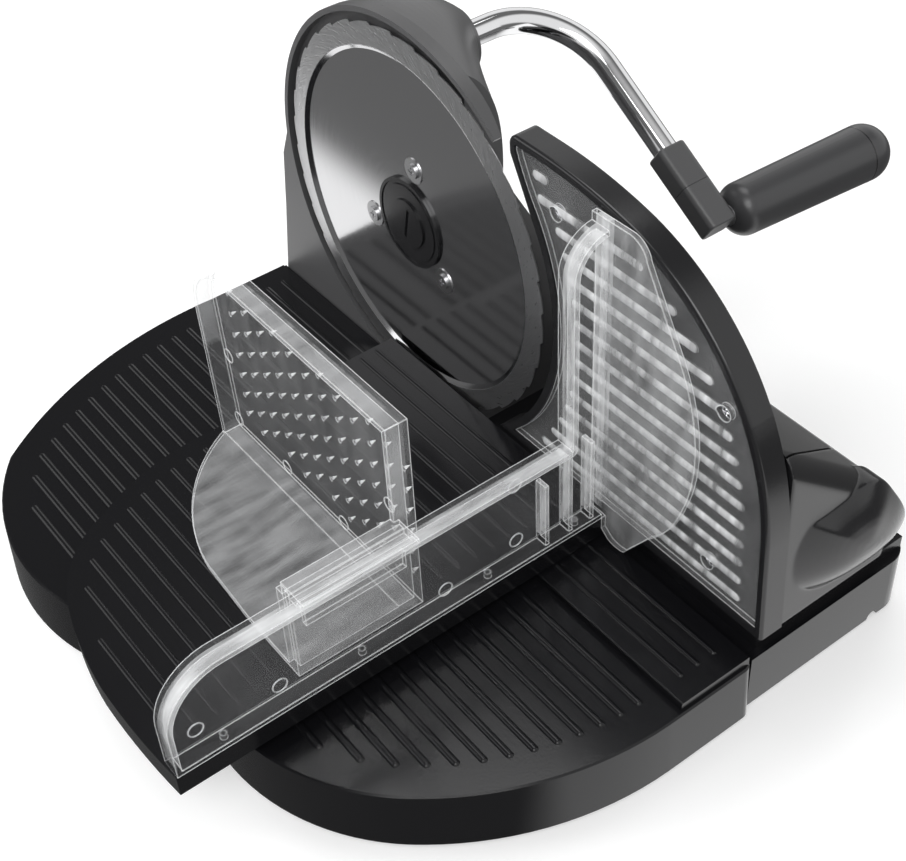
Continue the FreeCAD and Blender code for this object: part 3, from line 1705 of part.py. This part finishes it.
def make_thickness_knob():
    start = knob_bracket_x + knob_bracket_thickness + 0.4
    end = start + knob_length
    body = rod_x(spindle_y, spindle_height, knob_radius, start, end)
    body = fillet_where(body, 1.5, lambda edge: edge.BoundBox.XMin > end - 0.01)
    flutes = []
    for index in range(knob_flutes):
        angle = 2 * math.pi * index / knob_flutes
        flutes.append(rod_x(
            spindle_y + (knob_radius + 0.6) * math.cos(angle),
            spindle_height + (knob_radius + 0.6) * math.sin(angle),
            knob_flute_radius, start + 3, end + 1,
        ))
    seat = rod_x(
        spindle_y, spindle_height, spindle_radius, start - 1,
        knob_bracket_x + knob_bracket_thickness + knob_length - 3,
    )
    return cut(body, *flutes, seat)


# All pieces by name

def build():
    pieces = {}
    pieces["base_body"] = make_base_body()
    pieces["base_bottom_plate"] = make_bottom_plate()
    pieces["side_box"] = make_side_box()
    pieces["side_bottom_plate"] = make_side_bottom_plate()
    pieces["base_screws"] = make_base_screws()
    for name, place in foot_places().items():
        pieces[name] = make_foot(place)
    pieces["rail_plate"] = make_rail_plate()

    pieces["carriage"] = make_carriage()
    pieces["guide_shoes"] = make_guide_shoes()
    pieces["glide_pads"] = make_glide_pads()
    pieces["fence"] = make_fence()
    pieces["fence_screws"] = make_fence_screws()
    pieces["pusher"] = make_pusher()

    pieces["blade"] = make_blade()
    pieces["blade_screws"] = make_blade_screws()
    pieces["blade_hub"] = make_blade_hub()
    pieces["hub_cap"] = make_hub_cap()
    pieces["blade_pinion"] = make_blade_pinion()
    pieces["retaining_ring"] = make_retaining_ring()
    pieces["idler_gear"] = make_idler_gear()
    pieces["idler_pin"] = make_idler_pin()
    pieces["gear_plate"] = make_gear_plate()
    pieces["gear_plate_screws"] = make_gear_plate_screws()
    pieces["shaft_bushes"] = make_shaft_bushes()

    pieces["blade_housing"] = make_blade_housing()
    pieces["housing_back_cover"] = make_back_cover()

    pieces["crank_bush"] = make_crank_bush()
    pieces["crank_shaft"] = make_crank_shaft()
    pieces["crank_gear"] = make_crank_gear()
    pieces["crank_rod"] = make_crank_rod()
    pieces["crank_sleeve"] = make_crank_sleeve()
    pieces["crank_end_block"] = make_crank_end_block()
    pieces["handle_spindle"] = make_handle_spindle()
    pieces["handle_grip"] = make_handle_grip()
    pieces["handle_cap"] = make_handle_cap()

    pieces["gauge_frame"] = make_gauge_frame()
    pieces["gauge_insert"] = make_gauge_insert()
    pieces["gauge_screws"] = make_gauge_screws()
    pieces["gauge_front_cover"], pieces["gauge_carrier"] = make_gauge_covers()
    pieces["gauge_back_screws"] = make_gauge_back_screws()
    pieces["rod_holders"] = make_rod_holders()
    pieces["guide_rods"] = make_guide_rods()
    pieces["knob_bracket"] = make_knob_bracket()
    pieces["thickness_spindle"] = make_thickness_spindle()
    pieces["thickness_knob"] = make_thickness_knob()
    return pieces


def main():
    os.makedirs("parts", exist_ok=True)
    middle_x = (carriage_left + handle_reach) / 2
    middle_y = (bulge_front + base_rear + base_draft) / 2
    shift = Vector(-middle_x, -middle_y, 0)
    for name, shape in build().items():
        placed = shape.translated(shift)
        placed.exportStep("parts/" + name + ".step")
        bounds = placed.BoundBox
        print(
            name, "solids", len(placed.Solids), "valid", placed.isValid(), "volume", round(placed.Volume),
            [round(value, 1) for value in (bounds.XMin, bounds.XMax, bounds.YMin, bounds.YMax,
                                           bounds.ZMin, bounds.ZMax)],
        )


main()
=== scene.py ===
import json
import math

import bpy
from mathutils import Euler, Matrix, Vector


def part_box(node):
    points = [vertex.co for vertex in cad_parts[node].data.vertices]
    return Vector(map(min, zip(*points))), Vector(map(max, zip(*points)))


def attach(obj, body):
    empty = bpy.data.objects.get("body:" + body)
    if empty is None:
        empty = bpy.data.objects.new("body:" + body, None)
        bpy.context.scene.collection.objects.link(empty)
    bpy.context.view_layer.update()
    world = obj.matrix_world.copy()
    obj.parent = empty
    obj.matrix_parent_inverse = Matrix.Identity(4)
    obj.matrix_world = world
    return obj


# Hand crank bread slicer, in metres. The crank is at +X, the user stands at -Y, the table is z = 0.

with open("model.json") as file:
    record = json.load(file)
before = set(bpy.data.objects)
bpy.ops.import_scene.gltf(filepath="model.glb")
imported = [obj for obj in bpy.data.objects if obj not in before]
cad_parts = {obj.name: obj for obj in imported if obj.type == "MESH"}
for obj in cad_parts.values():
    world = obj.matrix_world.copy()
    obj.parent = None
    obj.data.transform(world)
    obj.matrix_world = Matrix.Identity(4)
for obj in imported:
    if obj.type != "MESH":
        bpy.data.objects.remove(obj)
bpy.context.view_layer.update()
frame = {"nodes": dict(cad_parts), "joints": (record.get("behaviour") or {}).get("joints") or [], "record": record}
nodes = frame["nodes"]

mm = 0.001

# Places read from the frame

blade_low, blade_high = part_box("blade")
blade_y = (blade_low.y + blade_high.y) / 2
blade_z = (blade_low.z + blade_high.z) / 2
blade_radius = (blade_high.z - blade_low.z) / 2
fence_back_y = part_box("fence")[1].y
insert_front_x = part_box("gauge_insert")[0].x
pusher_tip_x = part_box("pusher")[1].x
handle_joint = next(joint for joint in frame["joints"] if joint["name"] == "handle_spin")


class Tree:
    """The node tree of a material or a world, with short ways to add what is used often.

    A value given to a node is a number or another node's output."""

    def __init__(self, owner):
        owner.use_nodes = True
        self.tree = owner.node_tree
        self.tree.nodes.clear()

    def add(self, kind, **settings):
        node = self.tree.nodes.new(kind)
        for name, value in settings.items():
            setattr(node, name, value)
        return node

    def link(self, source, target):
        self.tree.links.new(source, target)

    def feed(self, socket, value):
        if isinstance(value, (int, float)):
            socket.default_value = value
        else:
            self.link(value, socket)

    def math(self, operation, first, second=0):
        node = self.add("ShaderNodeMath", operation=operation)
        self.feed(node.inputs[0], first)
        self.feed(node.inputs[1], second)
        return node.outputs[0]

    def product(self, first, second):
        return self.math("MULTIPLY", first, second)

    def ramp(self, source, start, end):
        """0 before start, 1 past end, smooth between them. The end may be the lower one."""
        node = self.add("ShaderNodeMapRange", interpolation_type="SMOOTHSTEP")
        node.inputs["From Min"].default_value = start
        node.inputs["From Max"].default_value = end
        self.link(source, node.inputs["Value"])
        return node.outputs["Result"]

    def spread(self, source, low, high):
        """Turns a 0 to 1 value into one between low and high."""
        node = self.add("ShaderNodeMapRange")
        node.inputs["To Min"].default_value = low
        node.inputs["To Max"].default_value = high
        self.link(source, node.inputs["Value"])
        return node.outputs["Result"]

    def split(self, vector):
        """X, Y and Z of a vector, as outputs with these names."""
        node = self.add("ShaderNodeSeparateXYZ")
        self.link(vector, node.inputs["Vector"])
        return node.outputs

    def join(self, x, y):
        node = self.add("ShaderNodeCombineXYZ")
        self.link(x, node.inputs["X"])
        self.link(y, node.inputs["Y"])
        return node.outputs[0]

    def white_light(self, kind, strength):
        node = self.add(kind)
        node.inputs["Color"].default_value = (1, 1, 1, 1)
        self.feed(node.inputs["Strength"], strength)
        return node.outputs[0]

    def mix_shaders(self, share, first, second):
        """The first shader where share is 0, the second where it is 1."""
        node = self.add("ShaderNodeMixShader")
        self.link(share, node.inputs["Fac"])
        self.link(first, node.inputs[1])
        self.link(second, node.inputs[2])
        return node.outputs[0]


# Camera, at the photograph's viewing angle

camera_place = (-0.32470, -0.44450, 0.55683)
camera_turn_degrees = (46.923, 2.532, -37.403)
camera_lens = 63.37
sensor_width = 36.0
nearest_view = 10 * mm


def add_camera():
    data = bpy.data.cameras.new("camera")
    data.lens = camera_lens
    data.sensor_width = sensor_width
    data.clip_start = nearest_view
    camera = bpy.data.objects.new("camera", data)
    camera.location = camera_place
    camera.rotation_euler = Euler([math.radians(angle) for angle in camera_turn_degrees], "XYZ")
    bpy.context.scene.collection.objects.link(camera)
    bpy.context.scene.camera = camera


# World and floor

fill_level = 0.45
reflected_level = 0.16
bright_side_level = 0.95
bright_side_start = (0.43, 0.50)
bright_side_top = (0.72, 0.62)
bright_front_start = (-0.15, -0.45)
bright_front_foot = (-0.05, 0.20)
bright_front_share = 0.95
floor_reach = 6.0
floor_white = 0.75
floor_glow = 0.34
floor_near_level = 1.2
floor_far_level = 0.16
lit_floor_left = (-0.112, -0.082)
lit_floor_right = (0.24, 0.15)


def seen_directly(t, path):
    """1 for what the camera sees, also through clear plastic."""
    return t.math("MAXIMUM", path.outputs["Is Camera Ray"], path.outputs["Is Transmission Ray"])


def add_world():
    """White where the camera sees it, mid grey as fill light.

    Reflections show it dark, with a bright right side and a bright front."""
    world = bpy.data.worlds.new("studio")
    bpy.context.scene.world = world
    t = Tree(world)
    out = t.add("ShaderNodeOutputWorld")
    path = t.add("ShaderNodeLightPath")
    coordinates = t.add("ShaderNodeTexCoord")
    way = t.split(coordinates.outputs["Generated"])
    to_right = t.ramp(way["X"], *bright_side_start)
    not_high = t.ramp(way["Z"], *bright_side_top)
    to_front = t.ramp(way["Y"], *bright_front_start)
    raised = t.ramp(way["Z"], *bright_front_foot)
    front = t.product(t.product(to_front, raised), bright_front_share)
    bright = t.math("MAXIMUM", t.product(to_right, not_high), front)
    level = t.spread(bright, reflected_level, bright_side_level)
    fill = t.white_light("ShaderNodeBackground", fill_level)
    mirrored = t.white_light("ShaderNodeBackground", level)
    white = t.white_light("ShaderNodeBackground", 1.0)
    unseen = t.mix_shaders(path.outputs["Is Glossy Ray"], fill, mirrored)
    t.link(t.mix_shaders(seen_directly(t, path), unseen, white), out.inputs["Surface"])


def add_floor():
    """Pale floor with the machine's shadow.

    Reflections show it bright near the machine and darker away from it."""
    data = bpy.data.meshes.new("floor")
    corners = ((-1, -1), (1, -1), (1, 1), (-1, 1))
    data.from_pydata([(x * floor_reach, y * floor_reach, 0) for x, y in corners], [], [(0, 1, 2, 3)])
    floor = bpy.data.objects.new("floor", data)
    bpy.context.scene.collection.objects.link(floor)
    material = bpy.data.materials.new("floor_white")
    t = Tree(material)
    out = t.add("ShaderNodeOutputMaterial")
    path = t.add("ShaderNodeLightPath")
    diffuse = t.add("ShaderNodeBsdfDiffuse")
    diffuse.inputs["Color"].default_value = (floor_white, floor_white, floor_white, 1)
    glow = t.white_light("ShaderNodeEmission", t.product(seen_directly(t, path), floor_glow))
    lit = t.add("ShaderNodeAddShader")
    t.link(diffuse.outputs[0], lit.inputs[0])
    t.link(glow, lit.inputs[1])
    geometry = t.add("ShaderNodeNewGeometry")
    place = t.split(geometry.outputs["Position"])
    near = t.product(t.ramp(place["X"], *lit_floor_left), t.ramp(place["X"], *lit_floor_right))
    level = t.spread(near, floor_far_level, floor_near_level)
    mirrored = t.white_light("ShaderNodeEmission", level)
    seen = t.mix_shaders(path.outputs["Is Glossy Ray"], lit.outputs[0], mirrored)
    t.link(seen, out.inputs["Surface"])
    data.materials.append(material)


# Lamps

light_target = Vector((0, 0, 0.1))


def add_area_light(name, place, size, power):
    data = bpy.data.lights.new(name, "AREA")
    data.shape = "RECTANGLE"
    data.size, data.size_y = size
    data.energy = power
    light = bpy.data.objects.new(name, data)
    light.location = place
    aim = light_target - Vector(place)
    light.rotation_euler = aim.to_track_quat("-Z", "Y").to_euler()
    bpy.context.scene.collection.objects.link(light)
    return light


add_camera()
add_world()
add_floor()

# The fill is unseen in reflections. A weaker box just in front of it shows there instead.
left_fill = add_area_light("left_back_fill", place=(-0.85, 0.85, 0.75), size=(0.9, 0.7), power=8)
left_fill.visible_glossy = False
add_area_light("left_back_box", place=(-0.83, 0.83, 0.735), size=(0.9, 0.7), power=3)
add_area_light("camera_box", place=(-0.7, -0.9, 1.3), size=(1.0, 1.0), power=12)
add_area_light("top_box", place=(0.3, 0.3, 1.5), size=(0.8, 0.8), power=6)
bpy.context.scene.view_settings.view_transform = "Standard"


# Materials

blade_color = (0.66, 0.66, 0.67)
blade_rough = 0.12
bevel_start = blade_radius - 11 * mm
bevel_blend = 0.6 * mm
bevel_slant = 22.0
bevel_line_run = 6.0
bevel_rough = (0.16, 0.5)
disc_rings = 900.0
disc_rough = (0.07, 0.15)
clear_color = (0.93, 0.94, 0.95)
clear_rough = 0.12
haze_shares = (0.2, 1.8)
streak_shares = (-0.4, 2.4)
band_edge = 0.15 * mm
edge_rounding = 1.1 * mm
edge_lean = (0.02, 0.22)
# How opaque and white the painted edge highlight makes the edges of clear plastic
edge_highlight_opacity = 0.9
highest_opacity = 0.96


def principled(name, color, roughness, metallic=0.0):
    material = bpy.data.materials.new(name)
    t = Tree(material)
    out = t.add("ShaderNodeOutputMaterial")
    shader = t.add("ShaderNodeBsdfPrincipled")
    shader.inputs["Base Color"].default_value = (*color, 1)
    shader.inputs["Roughness"].default_value = roughness
    shader.inputs["Metallic"].default_value = metallic
    t.link(shader.outputs[0], out.inputs["Surface"])
    return material, t, shader


def noise_at(t, vector, scale, detail):
    texture = t.add("ShaderNodeTexNoise")
    texture.inputs["Scale"].default_value = scale
    texture.inputs["Detail"].default_value = detail
    t.link(vector, texture.inputs["Vector"])
    return texture.outputs["Fac"]


def noise(t, scale, detail, stretch=(1, 1, 1)):
    """Noise in object space, in lumps per metre."""
    coordinates = t.add("ShaderNodeTexCoord")
    mapping = t.add("ShaderNodeMapping")
    mapping.inputs["Scale"].default_value = stretch
    t.link(coordinates.outputs["Object"], mapping.inputs["Vector"])
    return noise_at(t, mapping.outputs[0], scale, detail)


def object_place(t):
    """X, Y and Z of a point in its piece's own frame."""
    coordinates = t.add("ShaderNodeTexCoord")
    return t.split(coordinates.outputs["Object"])


def bump(t, shader, height, depth):
    node = t.add("ShaderNodeBump")
    node.inputs["Strength"].default_value = 1.0
    node.inputs["Distance"].default_value = depth
    t.link(height, node.inputs["Height"])
    t.link(node.outputs[0], shader.inputs["Normal"])


def moulded_plastic(name, color, rough, shine=0.5):
    """Moulded plastic: fine grain and uneven gloss. rough holds its lowest and highest roughness."""
    material, t, shader = principled(name, color, sum(rough) / 2)
    shader.inputs["Specular IOR Level"].default_value = shine
    patches = noise(t, scale=14, detail=3)
    t.link(t.spread(patches, *rough), shader.inputs["Roughness"])
    bump(t, shader, noise(t, scale=900, detail=2), depth=0.02 * mm)
    return material


def metal(name, color, rough):
    """Metal with fine uneven gloss. rough holds its lowest and highest roughness."""
    material, t, shader = principled(name, color, sum(rough) / 2, metallic=1.0)
    grain = noise(t, scale=300, detail=3)
    t.link(t.spread(grain, *rough), shader.inputs["Roughness"])
    bump(t, shader, grain, depth=0.01 * mm)
    return material


def blade_steel(name):
    """Ground steel: circular brushing on the disc, fine slanting lines on the bevel."""
    material, t, shader = principled(name, blade_color, blade_rough, metallic=1.0)
    place = object_place(t)
    off_y = t.math("SUBTRACT", place["Y"], blade_y)
    off_z = t.math("SUBTRACT", place["Z"], blade_z)
    angle = t.math("ARCTAN2", off_z, off_y)
    radius = t.math("SQRT", t.math("ADD", t.product(off_y, off_y), t.product(off_z, off_z)))
    slanted = t.math("ADD", angle, t.product(radius, bevel_slant))
    lines = noise_at(t, t.join(slanted, t.product(radius, bevel_line_run)), scale=60, detail=5)
    rings = noise_at(t, t.join(t.product(radius, disc_rings), angle), scale=2, detail=3)
    on_bevel = t.ramp(radius, bevel_start, bevel_start + bevel_blend)
    rough = t.add("ShaderNodeMix", data_type="FLOAT")
    t.link(on_bevel, rough.inputs["Factor"])
    t.link(t.spread(rings, *disc_rough), rough.inputs["A"])
    t.link(t.spread(lines, *bevel_rough), rough.inputs["B"])
    t.link(rough.outputs["Result"], shader.inputs["Roughness"])
    bump(t, shader, t.product(lines, on_bevel), depth=0.25 * mm)
    return material


def edge_mask(t):
    """1 on edges, 0 on flat faces: how far a rounded normal leans from the true one."""
    rounded = t.add("ShaderNodeBevel", samples=4)
    rounded.inputs["Radius"].default_value = edge_rounding
    geometry = t.add("ShaderNodeNewGeometry")
    likeness = t.add("ShaderNodeVectorMath", operation="DOT_PRODUCT")
    t.link(rounded.outputs[0], likeness.inputs[0])
    t.link(geometry.outputs["Normal"], likeness.inputs[1])
    lean = t.math("SUBTRACT", 1.0, likeness.outputs["Value"])
    return t.ramp(lean, *edge_lean)


def clear_plastic(name, haze, bands=()):
    """Clear moulding: faint uneven haze on the walls, a painted highlight that whitens the edges, and streaky haze
    and painted light in given bands.

    A band is its opacity and the limits that it lies between, each given by its axis."""
    material, t, shader = principled(name, clear_color, clear_rough)
    cloud = noise(t, scale=35, detail=3)
    opacity = t.spread(cloud, *[share * haze for share in haze_shares])
    place = object_place(t)
    streaks = noise(t, scale=130, detail=2, stretch=(0.3, 1.6, 0.3))
    # Each band raises the opacity in streaks: more haze, or painted light where light catches rims, spikes and
    # ribs
    for level, limits in bands:
        streaky = t.spread(streaks, *[share * level for share in streak_shares])
        for axis, (low, high) in limits.items():
            above = t.ramp(place[axis], low - band_edge, low + band_edge)
            below = t.ramp(place[axis], high + band_edge, high - band_edge)
            streaky = t.product(streaky, t.product(above, below))
        opacity = t.math("MAXIMUM", opacity, streaky)
    # Painted highlight: edges are made near opaque and white, standing in for the light that clear plastic carries
    # to its edges
    edge_highlight = t.product(edge_mask(t), edge_highlight_opacity)
    opacity = t.math("MAXIMUM", opacity, edge_highlight)
    t.link(t.math("MINIMUM", opacity, highest_opacity), shader.inputs["Alpha"])
    bump(t, shader, noise(t, scale=90, detail=2), depth=0.15 * mm)
    return material


materials = {
    "black_gloss": moulded_plastic("black_gloss", (0.006, 0.006, 0.007), (0.15, 0.24), shine=0.36),
    "black_satin": moulded_plastic("black_satin", (0.013, 0.013, 0.014), (0.15, 0.23)),
    "dark_grey": moulded_plastic("dark_grey", (0.046, 0.046, 0.048), (0.26, 0.36)),
    "clear": clear_plastic("clear", 0.10),
    "blade_steel": blade_steel("blade_steel"),
    "steel": metal("steel", (0.5, 0.5, 0.51), (0.25, 0.4)),
    "chrome": metal("chrome", (0.80, 0.80, 0.81), (0.04, 0.10)),
    "gear_plastic": moulded_plastic("gear_plastic", (0.75, 0.73, 0.66), (0.35, 0.45)),
    "brass": metal("brass", (0.72, 0.5, 0.2), (0.25, 0.35)),
    "rubber": moulded_plastic("rubber", (0.02, 0.02, 0.02), (0.7, 0.85)),
    "glide_plastic": moulded_plastic("glide_plastic", (0.72, 0.72, 0.7), (0.3, 0.4)),
}

# Pieces whose material differs from that of their slot

far = 1.0
fence_wall_y = fence_back_y - 2.5 * mm
fence_rim_y = fence_wall_y - 7.5 * mm
rim_foot_z = 56 * mm
pusher_back_x = pusher_tip_x - 5.5 * mm
pusher_floor_top_z = 56 * mm
pusher_hook_foot_z = 104 * mm

# Bands of streaky haze on the fence's guard and the pusher's floor and hook, and bands of painted light on the
# fence's rim, the pusher's spikes and the insert's ribs.
# far lies beyond every piece.
fence_bands = (
    (0.30, {"Y": (fence_rim_y, fence_wall_y - 0.3 * mm), "Z": (rim_foot_z, far)}),
    (0.11, {"Y": (-far, fence_rim_y - 0.3 * mm)}),
)
pusher_bands = (
    (0.11, {"X": (-far, pusher_back_x), "Z": (-far, pusher_floor_top_z)}),
    (0.14, {"X": (-far, pusher_back_x), "Z": (pusher_hook_foot_z, far)}),
    (0.90, {"X": (pusher_tip_x - 2 * mm, far)}),
)
insert_bands = (
    (0.45, {"X": (-far, insert_front_x + 0.65 * mm)}),
)
housing_grey = moulded_plastic("housing_grey", (0.078, 0.078, 0.080), (0.30, 0.42))
own_materials = {
    "blade_housing": housing_grey,
    "housing_back_cover": housing_grey,
    "fence": clear_plastic("clear_fence", 0.03, fence_bands),
    "pusher": clear_plastic("clear_pusher", 0.05, pusher_bands),
    "gauge_insert": clear_plastic("clear_insert", 0.05, insert_bands),
    "blade_screws": metal("screw_steel", (0.62, 0.62, 0.63), (0.24, 0.34)),
    "crank_end_block": housing_grey,
    "crank_sleeve": housing_grey,
}


def set_material(piece, material):
    piece.data.materials.clear()
    piece.data.materials.append(material)


for entry in frame["record"]["subparts"]:
    node = entry["node"]
    set_material(nodes[node], own_materials.get(node, materials[entry["material_slot"]]))

# Rounded creases of the gauge's front cover

cover_cell = 0.6 * mm
cover_rounds = 12


def soften(piece, cell, rounds):
    grid = piece.modifiers.new("even_grid", "REMESH")
    grid.mode = "VOXEL"
    grid.voxel_size = cell
    grid.use_smooth_shade = True
    smooth = piece.modifiers.new("soft_creases", "SMOOTH")
    smooth.factor = 0.5
    smooth.iterations = rounds


soften(nodes["gauge_front_cover"], cover_cell, cover_rounds)

# Ring marks on the clear mouldings and the seam of the grip's cap

ring_steps = 40
mark_outer = 3.7 * mm
mark_inner = 3.1 * mm
mark_height = 0.25 * mm
fence_marks_mm = ((-197, 60.5), (-159, 57), (-77, 54.5), (-39, 58.5), (-39, 91))
pusher_marks_mm = ((63, 97), (64, 58), (23, 57), (-22, 57), (-61, 99))
grip_seam_distance = 88.6 * mm
grip_seam_radius = 13.80 * mm
grip_seam_depth = 0.5 * mm
grip_seam_width = 0.7 * mm


def add_ring(name, body, middle, axis, inner, outer, width, material):
    """Closed ring with a rectangular section, its middle plane at the middle and across the axis."""
    turn = Vector(axis).to_track_quat("Z", "Y").to_matrix()
    section = ((inner, -width / 2), (outer, -width / 2), (outer, width / 2), (inner, width / 2))
    points = []
    for step in range(ring_steps):
        angle = 2 * math.pi * step / ring_steps
        for radius, height in section:
            point = Vector((radius * math.cos(angle), radius * math.sin(angle), height))
            points.append(Vector(middle) + turn @ point)
    count = len(section)
    faces = []
    for step in range(ring_steps):
        here = step * count
        there = (step + 1) % ring_steps * count
        for corner in range(count):
            other = (corner + 1) % count
            faces.append((here + corner, here + other, there + other, there + corner))
    data = bpy.data.meshes.new(name)
    data.from_pydata(points, [], faces)
    ring = bpy.data.objects.new(name, data)
    bpy.context.scene.collection.objects.link(ring)
    set_material(ring, material)
    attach(ring, body)


for number, (x, z) in enumerate(fence_marks_mm, 1):
    add_ring(
        f"fence_mark_{number}", "food_carriage",
        (x * mm, fence_wall_y - mark_height / 2, z * mm), (0, 1, 0),
        mark_inner, mark_outer, mark_height, own_materials["fence"],
    )
for number, (y, z) in enumerate(pusher_marks_mm, 1):
    add_ring(
        f"pusher_mark_{number}", "food_pusher",
        (pusher_back_x - mark_height / 2, y * mm, z * mm), (1, 0, 0),
        mark_inner, mark_outer, mark_height, own_materials["pusher"],
    )
handle_axis = Vector(handle_joint["axis"])
add_ring(
    "grip_seam", "handle",
    Vector(handle_joint["pos_m"]) + handle_axis * grip_seam_distance, handle_axis,
    grip_seam_radius - grip_seam_depth, grip_seam_radius, grip_seam_width,
    materials["black_satin"],
)
